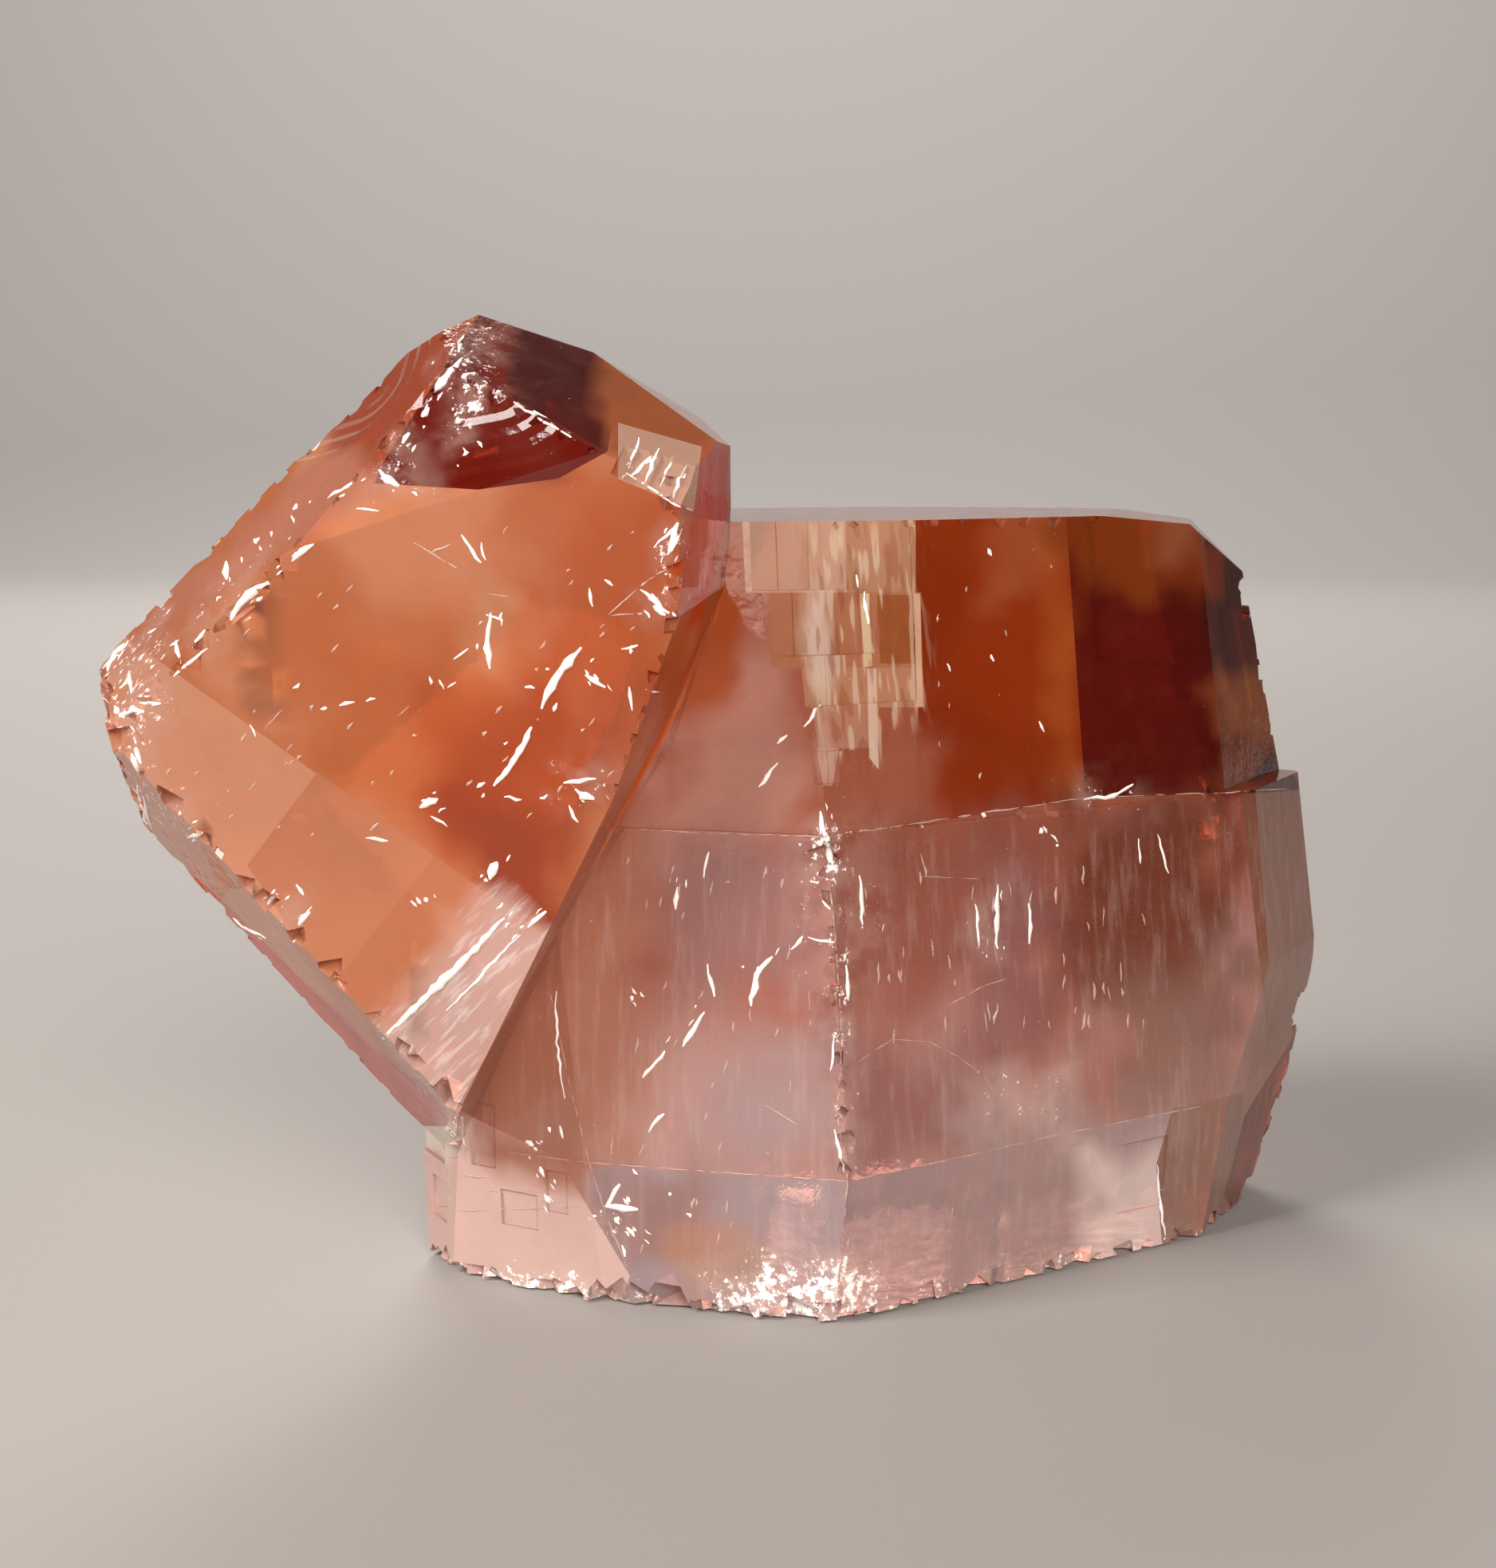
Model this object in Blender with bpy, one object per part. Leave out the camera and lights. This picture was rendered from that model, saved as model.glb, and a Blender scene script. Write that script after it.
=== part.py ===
"""A red calcite specimen: a stout translucent crystal standing on its broken base, with a second
crystal grown tilted through its left shoulder. Metres, +Z up, and the showing side faces -Y.

The solid is shaped in millimetres from a mark on the table under the front of the main crystal.
When finished it is brought to metres, with its origin under the middle of it.
"""

import math
import random

import bmesh
import bpy
from mathutils import Euler, Matrix, Vector

METRES_PER_MM = 0.001
ROUGH_SIZE = 400
TRIM_TOLERANCE = 0.0001

# Heights of the main crystal.
GIRDLE = 10.1
PARTING = 33.3
TOP = 53.9
PARTING_LAP = 1.5

# The upright axis that the main crystal's sides are measured from.
AXIS = Vector((10.0, 25.0, 0.0))

# Sides of the main crystal: where each faces (degrees from the viewer towards the right), how far
# it stands out from the axis at its widest, the height of that widest line, how far it leans below
# that line, up to the parting, and above the parting (degrees), and its step at the parting.
SIDES = {
    "front right": (34, 18.9, GIRDLE, -5.0, 5.2, 9.2, 0.3),
    "front left": (-14, 25.0, GIRDLE, 0.0, 2.7, 8.8, 0.3),
    "second left": (-31, 28.5, GIRDLE, -2.5, 0.5, 12.0, 0.3),
    "foot": (-63, 34.0, 9.0, 1.0, 12.0, 24.0, 0.3),
    "right corner": (62, 26.9, 20.0, -8.5, 6.1, 8.6, 1.6),
    "right": (95, 36.9, 13.5, -28.0, 7.6, 12.4, 0.3),
    "back right": (136, 32.0, 17.0, -14.0, 6.0, 14.0, 0.6),
    "back": (171, 25.6, 15.0, -9.0, 4.0, 8.0, 0.3),
    "back left": (-158, 27.0, 16.0, -12.0, 7.0, 15.0, 0.5),
    "left": (-112, 29.0, 12.0, -8.0, 12.0, 22.0, 0.3),
}
BANDS = ("lower", "middle", "upper")

# Flat faces of the tilted crystal: a place on each and its outward direction.
TILTED_FACES = {
    "front": ((-22.0, -3.3, 42.0), (-0.060, -0.990, -0.100)),
    "upper left": ((-37.0, -2.7, 44.7), (-0.659, -0.413, 0.629)),
    "upper left, behind": ((-31.0, 8.6, 56.2), (-0.560, 0.560, 0.610)),
    "apex, left": ((-18.1, 8.0, 67.7), (-0.477, -0.050, 0.877)),
    "left tip": ((-43.0, 8.0, 38.0), (-0.950, -0.200, -0.240)),
    "underside": ((-28.6, -1.2, 25.6), (-0.665, -0.439, -0.602)),
    "underside, behind": ((-33.9, 9.0, 22.5), (-0.720, 0.380, -0.560)),
    "underside, low": ((-26.1, 9.0, 13.0), (-0.600, 0.150, -0.740)),
    "foot end": ((-20.0, 2.0, 12.6), (-0.100, -0.350, -0.930)),
    "right lip": ((-4.3, -5.4, 52.0), (0.960, -0.240, -0.040)),
    "right, behind": ((-1.4, 7.5, 56.0), (0.960, 0.270, 0.060)),
    "right side": ((-8.6, -3.6, 36.6), (0.915, -0.190, -0.355)),
    "right side, low": ((-15.3, 2.0, 22.0), (0.880, -0.120, -0.450)),
    "cap, right": ((-18.1, 8.0, 67.7), (0.338, -0.358, 0.870)),
    "shoulder": ((-9.6, 8.0, 64.6), (0.545, -0.060, 0.838)),
    "cap, front": ((-9.5, -5.7, 58.7), (-0.178, -0.942, 0.285)),
    "cap, behind": ((-18.1, 8.0, 67.7), (0.160, 0.580, 0.800)),
    "back": ((-22.0, 33.0, 40.0), (-0.080, 0.980, 0.060)),
}

# Stepped cleavage at the top of the front ridge: the left and right edge of each tier and the
# height of its lower end.
CLEAVAGE_TIERS = (
    (0.3, 10.9, 49.3),
    (1.7, 11.3, 45.0),
    (3.9, 11.6, 41.7),
    (4.2, 8.8, 38.7),
    (4.4, 6.2, 36.6),
)
CLEAVAGE_STRIP = (0.7, 1.6)
CLEAVAGE_UNEVENNESS = 0.22
CLEAVAGE_REACH = 15

# The pale ribbed chip out of the tilted crystal's upper right corner: its lowest left corner, the
# directions that its floor and its lower edge face, and its ribs.
RIBBED_CHIP_CORNER = Vector((-8.6, -5.2, 57.2))
RIBBED_CHIP_FLOOR = (0.30, -0.74, 0.60)
RIBBED_CHIP_EDGE = (-0.42, -0.20, -0.88)
RIBBED_CHIP_RIB = 0.8
RIBBED_CHIP_RIBS = 6
RIB_DEPTH = 0.2

# Shell-shaped breaks: the middle of each, the direction it faces, its radius, its depth, and the
# number of its ripples.
SHELL_BREAKS = (
    ((-17.0, -2.9, 63.2), (-0.178, -0.942, 0.285), 7.6, 0.70, 6),
    ((-25.5, 7.0, 63.2), (-0.659, -0.413, 0.629), 8.0, 0.70, 5),
    ((42.4, 26.0, 6.0), (0.700, -0.560, -0.440), 9.5, 1.30, 5),
    ((24.0, 50.3, 10.0), (0.300, 0.900, -0.250), 13.0, 1.80, 6),
    ((-29.0, 29.0, 54.0), (-0.420, 0.760, 0.500), 10.5, 1.50, 6),
)
SHELL_SPOKES = 30
SHELL_LOBES = 3
SHELL_LOBE = 0.12
RIPPLE_HEIGHT = 0.10

# The groove where the two crystals meet, from the top downwards, and its width.
CONTACT = (
    (-1.2, 7.2, 55.5),
    (-2.4, 5.7, 47.5),
    (-5.4, 5.2, 39.0),
    (-9.1, 4.7, 32.4),
    (-13.2, 5.2, 24.8),
    (-16.6, 6.2, 18.2),
    (-19.0, 7.2, 13.4),
)
CONTACT_GROOVE = 0.9

# Right-angled ledges in the sides: the side and its band, how far the ledge starts along the side
# from the axis and at what height, and its width, height and depth.
LEDGES = (
    ("second left", "lower", -17.5, 8.4, 2.2, 4.6, 0.30),
    ("second left", "lower", -15.0, 4.4, 3.2, 2.6, 0.22),
    ("second left", "lower", -11.0, 6.0, 1.8, 3.0, 0.18),
    ("foot", "lower", -9.5, 7.5, 6.0, 4.5, 0.40),
    ("foot", "lower", -6.0, 3.2, 3.0, 3.0, 0.25),
    ("front right", "lower", 8.3, 3.2, 4.4, 5.4, 0.25),
    ("back", "middle", -14.0, 22.0, 10.0, 9.0, 0.9),
    ("back", "middle", -10.0, 19.0, 13.0, 9.5, 0.5),
    ("back", "upper", -20.0, 40.0, 12.0, 15.0, 0.8),
    ("back right", "upper", -8.0, 37.0, 9.0, 20.0, 0.7),
    ("back left", "middle", -9.0, 16.0, 11.0, 8.0, 0.6),
    ("right", "middle", -6.0, 18.0, 9.0, 11.0, 0.35),
)

# Broken edges: the two faces that meet in each, the faces where it starts and ends, how many
# chips it has, and their size range.
CHIPPED_EDGES = (
    ("floor", "foot, lower", "left, lower", "second left, lower", 7, (0.9, 2.0)),
    ("floor", "second left, lower", "foot, lower", "front left, lower", 9, (0.8, 1.8)),
    ("floor", "front left, lower", "second left, lower", "front right, lower", 12, (0.9, 2.2)),
    ("floor", "front right, lower", "front left, lower", "right corner, lower", 15, (0.8, 1.9)),
    ("floor", "right corner, lower", "front right, lower", "right, lower", 4, (1.0, 2.0)),
    ("floor", "right, lower", "right corner, lower", "back right, lower", 6, (1.0, 2.4)),
    ("floor", "back, lower", "back right, lower", "back left, lower", 9, (1.2, 2.8)),
    ("floor", "back left, lower", "back, lower", "left, lower", 7, (1.0, 2.4)),
    ("floor", "left, lower", "back left, lower", "foot, lower", 5, (1.0, 2.2)),
    ("front right, middle", "front left, middle", "girdle", "parting", 13, (0.4, 1.1)),
    ("front right, middle", "parting", "front left, middle", "right corner, middle", 11, (0.3, 1.0)),
    ("right corner, upper", "right, upper", "parting", "worn corner", 8, (0.7, 1.6)),
    ("worn corner", "right, upper", "right corner, upper", "back right, upper", 6, (0.9, 1.8)),
    ("right, lower", "right, middle", "right corner, middle", "back right, lower", 7, (1.0, 2.0)),
    ("right corner, lower", "right, lower", "floor", "right, middle", 7, (0.7, 1.6)),
    ("top", "front right, upper", "front left, upper", "top fall", 9, (0.4, 1.1)),
    ("top", "back, upper", "back right, upper", "back left, upper", 8, (1.0, 2.4)),
    ("back, middle", "back right, middle", "back, lower", "parting", 7, (0.8, 1.8)),
    ("front", "upper left", "left tip", "cap, front", 16, (0.6, 1.6)),
    ("cap, front", "upper left", "front", "cap, right", 6, (0.4, 1.0)),
    ("cap, right", "upper left", "cap, front", "apex, left", 4, (0.4, 0.9)),
    ("cap, right", "cap, front", "upper left", "front", 6, (0.3, 0.8)),
    ("upper left", "upper left, behind", "left tip", "apex, left", 10, (0.5, 1.4)),
    ("left tip", "upper left", "front", "upper left, behind", 9, (1.0, 2.2)),
    ("left tip", "underside", "front", "underside, behind", 6, (0.9, 2.0)),
    ("front", "left tip", "upper left", "underside", 2, (1.2, 2.0)),
    ("front", "underside", "left tip", "foot end", 15, (0.6, 1.6)),
    ("underside", "underside, behind", "left tip", "underside, low", 9, (0.6, 1.5)),
    ("front", "right lip", "shoulder", "right side", 5, (0.5, 1.2)),
    ("front", "right side", "right lip", "right side, low", 7, (0.5, 1.2)),
    ("back", "upper left, behind", "left tip", "cap, behind", 7, (0.9, 2.0)),
)
CHIP_PLACE = (0.2, 0.8)
CHIP_REACH = (0.35, 0.65)
CHIP_STRAY = 0.25
CHIP_SHEAR = 0.27
CHIP_SEED = 11

CRYSTAL_RED = (0.55, 0.16, 0.07, 1.0)
GLASSY_ROUGHNESS = 0.18


def facing(azimuth, lean):
    """The direction of a face turned from the viewer towards the right, and leaning upwards."""
    turn = math.radians(azimuth)
    tip = math.radians(lean)
    return Vector((math.sin(turn) * math.cos(tip), -math.cos(turn) * math.cos(tip), math.sin(tip)))


def level(height, up=1):
    return Vector((0, 0, height)), Vector((0, 0, up))


def side_faces(side):
    """The lower, middle and upper face of one side of the main crystal."""
    azimuth, reach, widest, lower, middle, upper, step = SIDES[side]
    out = facing(azimuth, 0)
    belt = AXIS + out * reach + Vector((0, 0, widest))
    rise = PARTING - widest
    parting = belt + out * (-rise * math.tan(math.radians(middle)) - step) + Vector((0, 0, rise))
    return (
        (belt, facing(azimuth, lower)),
        (belt, facing(azimuth, middle)),
        (parting, facing(azimuth, upper)),
    )


def named_faces():
    """Every flat face of the two crystals by its name, as a place on it and its direction."""
    faces = {name: (Vector(place), Vector(out)) for name, (place, out) in TILTED_FACES.items()}
    for side in SIDES:
        for band, face in zip(BANDS, side_faces(side)):
            faces[f"{side}, {band}"] = face
    faces["floor"] = level(0, -1)
    faces["girdle"] = level(GIRDLE)
    faces["parting"] = level(PARTING)
    faces["top"] = level(TOP)
    faces["top fall"] = (Vector((30.0, 20.0, 53.4)), facing(78, 83))
    faces["worn corner"] = (Vector((36.3, 30.0, 50.9)), facing(80, 46))
    return faces


FACES = named_faces()


def meeting(*faces):
    """The corner where three faces meet."""
    rows = Matrix([outward for place, outward in faces])
    reach = Vector([outward.dot(place) for place, outward in faces])
    return rows.inverted() @ reach


def finished_object(name, mesh):
    bmesh.ops.recalc_face_normals(mesh, faces=mesh.faces)
    data = bpy.data.meshes.new(name)
    mesh.to_mesh(data)
    mesh.free()
    made = bpy.data.objects.new(name, data)
    bpy.context.scene.collection.objects.link(made)
    return made


def block(name, faces):
    """A closed block bounded by flat faces, each a place on it and its outward direction."""
    mesh = bmesh.new()
    bmesh.ops.create_cube(mesh, size=ROUGH_SIZE)
    for place, outward in faces:
        everything = mesh.verts[:] + mesh.edges[:] + mesh.faces[:]
        trimmed = bmesh.ops.bisect_plane(
            mesh,
            geom=everything,
            dist=TRIM_TOLERANCE,
            plane_co=place,
            plane_no=outward.normalized(),
            clear_outer=True,
        )
        rim = [item for item in trimmed["geom_cut"] if isinstance(item, bmesh.types.BMEdge)]
        if rim:
            bmesh.ops.contextual_create(mesh, geom=rim)
    return finished_object(name, mesh)


def prism(name, outline, along):
    """A closed prism whose end is a flat outline, drawn out along a direction."""
    mesh = bmesh.new()
    end = mesh.faces.new([mesh.verts.new(corner) for corner in outline])
    drawn = bmesh.ops.extrude_face_region(mesh, geom=[end])
    moved = [item for item in drawn["geom"] if isinstance(item, bmesh.types.BMVert)]
    bmesh.ops.translate(mesh, vec=along, verts=moved)
    return finished_object(name, mesh)


def combine(solid, other, operation):
    """Joins another block to the solid, or cuts it away, for good."""
    change = solid.modifiers.new(operation.lower(), "BOOLEAN")
    change.operation = operation
    change.solver = "EXACT"
    change.object = other
    bpy.context.view_layer.objects.active = solid
    bpy.ops.object.modifier_apply(modifier=change.name)
    bpy.data.objects.remove(other)


def join(solid, other):
    combine(solid, other, "UNION")


def cut(solid, other):
    combine(solid, other, "DIFFERENCE")


def main_crystal():
    """The lower stage up to the parting, and the upper stage let in by a small step above it."""
    lower_stage = [FACES["floor"], FACES["parting"]]
    upper_stage = [level(PARTING - PARTING_LAP, -1)]
    upper_stage += [FACES[name] for name in ("top", "top fall", "worn corner")]
    for side in SIDES:
        lower, middle, upper = side_faces(side)
        lower_stage += [lower, middle]
        upper_stage.append(upper)
    crystal = block("red_calcite", lower_stage)
    join(crystal, block("upper stage", upper_stage))
    return crystal


def tilted_crystal():
    return block("tilted crystal", [FACES[name] for name in TILTED_FACES])


def cut_cleavage_steps(crystal):
    """Tiers of upright strips let into the top of the front ridge, each cut straight from one of
    its edges to the other, so that the ridge is blunted less and less deep further down."""
    chance = random.Random(CHIP_SEED)
    on_left, on_right = FACES["front left, upper"], FACES["front right, upper"]
    for left, right, bottom in CLEAVAGE_TIERS:
        start = meeting(on_left, (Vector((left, 0, 0)), Vector((1, 0, 0))), level(bottom))
        end = meeting(on_right, (Vector((right, 0, 0)), Vector((1, 0, 0))), level(bottom))
        outline = [Vector((x, -CLEAVAGE_REACH, bottom)) for x in (left, right)]
        share = 1.0
        while share > 0:
            width = chance.uniform(*CLEAVAGE_STRIP) / (right - left)
            deeper = Vector((0, chance.uniform(0, CLEAVAGE_UNEVENNESS), 0))
            outline.append(start.lerp(end, share) + deeper)
            share = max(share - width, 0)
            outline.append(start.lerp(end, share) + deeper)
        foot, head = [meeting(on_left, on_right, level(height)) for height in (bottom, TOP + 1)]
        cut(crystal, prism("cleavage tier", outline, head - foot))


def cut_ribbed_chip(crystal):
    """A chip whose floor is a fan of narrow ribs, every second one a little deeper."""
    floor = Vector(RIBBED_CHIP_FLOOR).normalized()
    edge = Vector(RIBBED_CHIP_EDGE)
    across = floor.cross(edge).normalized()
    for rib in range(RIBBED_CHIP_RIBS):
        start = RIBBED_CHIP_CORNER + across * RIBBED_CHIP_RIB * rib
        end = start + across * RIBBED_CHIP_RIB
        deeper = RIB_DEPTH if rib % 2 else 0.0
        strip = ((start, -across), (end, across), (start, edge), (start - floor * deeper, -floor))
        cut(crystal, block("rib", strip))


def ring_of_faces(mesh, inner, outer):
    """Faces between two rings, or from a single middle point to the first ring."""
    count = len(outer)
    for spoke in range(count):
        following = (spoke + 1) % count
        if len(inner) == 1:
            mesh.faces.new((inner[0], outer[spoke], outer[following]))
        else:
            mesh.faces.new((inner[spoke], outer[spoke], outer[following], inner[following]))


def shell_break(centre, outward, radius, depth, ripples):
    """A cutter whose lower side is a shallow bowl with rings of ripples, closed by a flat lid."""
    mesh = bmesh.new()
    rings = 2 * ripples
    previous = [mesh.verts.new((0, 0, -depth))]
    for ring in range(1, rings + 1):
        share = ring / rings
        ripple = RIPPLE_HEIGHT * share * (1 if ring % 2 else -1)
        height = -depth * (1 - share**2) + ripple
        loop = []
        for spoke in range(SHELL_SPOKES):
            angle = math.tau * spoke / SHELL_SPOKES
            lobed = 1 + SHELL_LOBE * math.cos(SHELL_LOBES * angle + 1)
            reach = radius * share * lobed
            loop.append(mesh.verts.new((reach * math.cos(angle), reach * math.sin(angle), height)))
        ring_of_faces(mesh, previous, loop)
        previous = loop
    lid = [mesh.verts.new(vertex.co + Vector((0, 0, 3 * radius))) for vertex in previous]
    ring_of_faces(mesh, previous, lid)
    mesh.faces.new(lid)
    turned = Vector(outward).to_track_quat("Z", "Y").to_matrix().to_4x4()
    mesh.transform(Matrix.Translation(Vector(centre)) @ turned)
    return finished_object("shell break", mesh)


def cut_contact_groove(crystal):
    """A narrow groove along the line where the two crystals meet."""
    half = CONTACT_GROOVE / 2
    for upper, lower in zip(CONTACT, CONTACT[1:]):
        upper, lower = Vector(upper), Vector(lower)
        along = (upper - lower).normalized()
        aside = along.cross(Vector((0, -1, 0))).normalized()
        deep = along.cross(aside).normalized()
        walls = [(upper + along * half, along), (lower - along * half, -along)]
        for side in (-1, 1):
            for face in (-1, 1):
                walls.append((upper + aside * side * half, aside * side + deep * face))
        cut(crystal, block("groove", walls))


def cut_ledges(crystal):
    """Shallow ledges with upright and level edges."""
    for side, band, along, height, width, rise, depth in LEDGES:
        place, outward = FACES[f"{side}, {band}"]
        across = level(0)[1].cross(outward).normalized()
        start = (AXIS + across * along, across)
        corner = meeting((place, outward), start, level(height))
        ledge = (
            (corner, -across),
            (corner + across * width, across),
            level(height, -1),
            level(height + rise),
            (corner - outward * depth, -outward),
        )
        cut(crystal, block("ledge", ledge))


def chip(place, size, chance):
    """A small slanted block, the shape that this mineral breaks out in."""
    turn = Euler([chance.uniform(0, math.tau) for _ in range(3)])
    walls = []
    for axis in ((1, CHIP_SHEAR, 0), (0, 1, CHIP_SHEAR), (CHIP_SHEAR, 0, 1)):
        reach = size * chance.uniform(*CHIP_REACH)
        for side in (-1, 1):
            outward = Vector(axis).normalized() * side
            outward.rotate(turn)
            walls.append((place + outward * reach, outward))
    return block("chip", walls)


def cut_chips(crystal):
    chance = random.Random(CHIP_SEED)
    for one, other, first, last, count, sizes in CHIPPED_EDGES:
        start = meeting(FACES[one], FACES[other], FACES[first])
        end = meeting(FACES[one], FACES[other], FACES[last])
        for number in range(count):
            along = (number + chance.uniform(*CHIP_PLACE)) / count
            size = chance.uniform(*sizes)
            stray = Vector([chance.uniform(-CHIP_STRAY, CHIP_STRAY) * size for _ in range(3)])
            found, surface, _, _ = crystal.closest_point_on_mesh(start.lerp(end, along))
            if found:
                cut(crystal, chip(surface + stray, size, chance))


def drop_crumbs(crystal):
    """Leaves only the largest piece, where chips that overlap have cut small crumbs loose."""
    mesh = bmesh.new()
    mesh.from_mesh(crystal.data)
    waiting = set(mesh.faces)
    pieces = []
    while waiting:
        piece = [waiting.pop()]
        for face in piece:
            for edge in face.edges:
                if len(edge.link_faces) == 2:
                    found = waiting.intersection(edge.link_faces)
                    waiting -= found
                    piece += found
        pieces.append(piece)
    pieces.sort(key=len)
    crumbs = [face for piece in pieces[:-1] for face in piece]
    bmesh.ops.delete(mesh, geom=crumbs, context="FACES")
    mesh.to_mesh(crystal.data)
    mesh.free()


def stone_material():
    material = bpy.data.materials.new("red calcite")
    material.use_nodes = True
    shader = material.node_tree.nodes["Principled BSDF"]
    shader.inputs["Base Color"].default_value = CRYSTAL_RED
    shader.inputs["Roughness"].default_value = GLASSY_ROUGHNESS
    shader.inputs["Metallic"].default_value = 0.0
    return material


def bring_to_metres(solid):
    """Scales the mesh to metres and moves it so that its origin lies under the middle of its box."""
    places = [vertex.co for vertex in solid.data.vertices]
    low = Vector([min(place[axis] for place in places) for axis in range(3)])
    high = Vector([max(place[axis] for place in places) for axis in range(3)])
    centred = Matrix.Translation((-(low.x + high.x) / 2, -(low.y + high.y) / 2, -low.z))
    solid.data.transform(Matrix.Scale(METRES_PER_MM, 4) @ centred)


def build():
    for old in list(bpy.data.objects):
        bpy.data.objects.remove(old)
    calcite = main_crystal()
    cut_cleavage_steps(calcite)
    cut_ledges(calcite)
    join(calcite, tilted_crystal())
    cut_contact_groove(calcite)
    cut_ribbed_chip(calcite)
    for shell in SHELL_BREAKS:
        cut(calcite, shell_break(*shell))
    cut_chips(calcite)
    drop_crumbs(calcite)
    bring_to_metres(calcite)
    calcite.data.materials.append(stone_material())


build()
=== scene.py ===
"""The look of a red calcite specimen: two glassy crystals grown through each other, orange and dark
red above a parting, milky pink below it, with pale cleavage steps and white crushed edges.

The frame is in metres. Patterns are laid out in millimetres. Where a marking follows the
photograph, its outline is given in picture points of the 1876 by 1966 frame, and it is carried
along the lines of sight from the eye onto the stone."""

import math
import random

import bmesh
import bpy
import numpy as np
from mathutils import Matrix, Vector, noise
from mathutils.bvhtree import BVHTree


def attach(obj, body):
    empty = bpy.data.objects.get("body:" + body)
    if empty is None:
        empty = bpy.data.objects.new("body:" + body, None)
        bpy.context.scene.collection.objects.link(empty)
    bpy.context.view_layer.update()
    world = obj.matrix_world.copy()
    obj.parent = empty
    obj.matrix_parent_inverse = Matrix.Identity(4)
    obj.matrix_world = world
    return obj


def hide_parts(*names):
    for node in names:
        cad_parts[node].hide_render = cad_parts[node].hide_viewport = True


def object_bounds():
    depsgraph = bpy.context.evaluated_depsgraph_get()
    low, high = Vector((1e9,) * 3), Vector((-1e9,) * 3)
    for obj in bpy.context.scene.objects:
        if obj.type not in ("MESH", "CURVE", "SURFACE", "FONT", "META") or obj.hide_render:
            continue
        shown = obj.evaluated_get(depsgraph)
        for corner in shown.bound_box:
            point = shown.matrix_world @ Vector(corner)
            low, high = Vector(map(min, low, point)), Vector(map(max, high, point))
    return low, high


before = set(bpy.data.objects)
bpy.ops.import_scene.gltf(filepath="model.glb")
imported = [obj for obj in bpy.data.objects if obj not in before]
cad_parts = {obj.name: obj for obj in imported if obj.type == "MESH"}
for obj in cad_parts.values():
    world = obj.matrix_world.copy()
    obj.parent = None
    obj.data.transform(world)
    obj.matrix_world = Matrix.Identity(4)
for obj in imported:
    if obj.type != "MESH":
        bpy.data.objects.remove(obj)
solid_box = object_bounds()

MM = 0.001

# The eye: where it stands, how far it looks down, and its focal length in picture points.
PHOTO_WIDE = 1876
PHOTO_HIGH = 1966
FOCAL_POINTS = 3150
SENSOR = 36.0
EYE = Vector((-0.44, -186.47, 59.34))
LOOK_DOWN = math.radians(7.79)

# Fields softer than this, in mm, have no cut rim.
CRISP = 0.5
# How upright a face's direction may be before it belongs to the level top.
LEVEL_RISE = 0.95
# The height of the parting at the back, in mm, and the heights between which the streaks set in.
PARTING_HEIGHT = 33.3
STREAK_HEIGHTS = (34.0, 31.0)
# The size of the large clouds and of the mottling of the colours, and how far the soft rims of the
# fields wander, in mm.
CLOUD_SIZE = 9.0
MOTTLE_SIZE = 3.0
WANDER = 3.0


def tone(red, green, blue):
    """A colour from screen values, 0 to 255, as the shader takes it."""
    linear = []
    for value in (red, green, blue):
        share = value / 255
        linear.append(share / 12.92 if share <= 0.04045 else ((share + 0.055) / 1.055) ** 2.4)
    return (*linear, 1.0)


def sight(point):
    """The direction from the eye through a picture point."""
    across = (point[0] - PHOTO_WIDE / 2) / FOCAL_POINTS
    rise = (PHOTO_HIGH / 2 - point[1]) / FOCAL_POINTS
    ahead = Vector((0, math.cos(LOOK_DOWN), -math.sin(LOOK_DOWN)))
    upwards = Vector((0, math.sin(LOOK_DOWN), math.cos(LOOK_DOWN)))
    return (Vector((across, 0, 0)) + ahead + upwards * rise).normalized()


def deselect_all():
    """Leaves nothing selected."""
    for other in bpy.context.selected_objects:
        other.select_set(False)


def only(piece):
    """Makes one piece the selected and active one."""
    deselect_all()
    piece.select_set(True)
    bpy.context.view_layer.objects.active = piece


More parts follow.
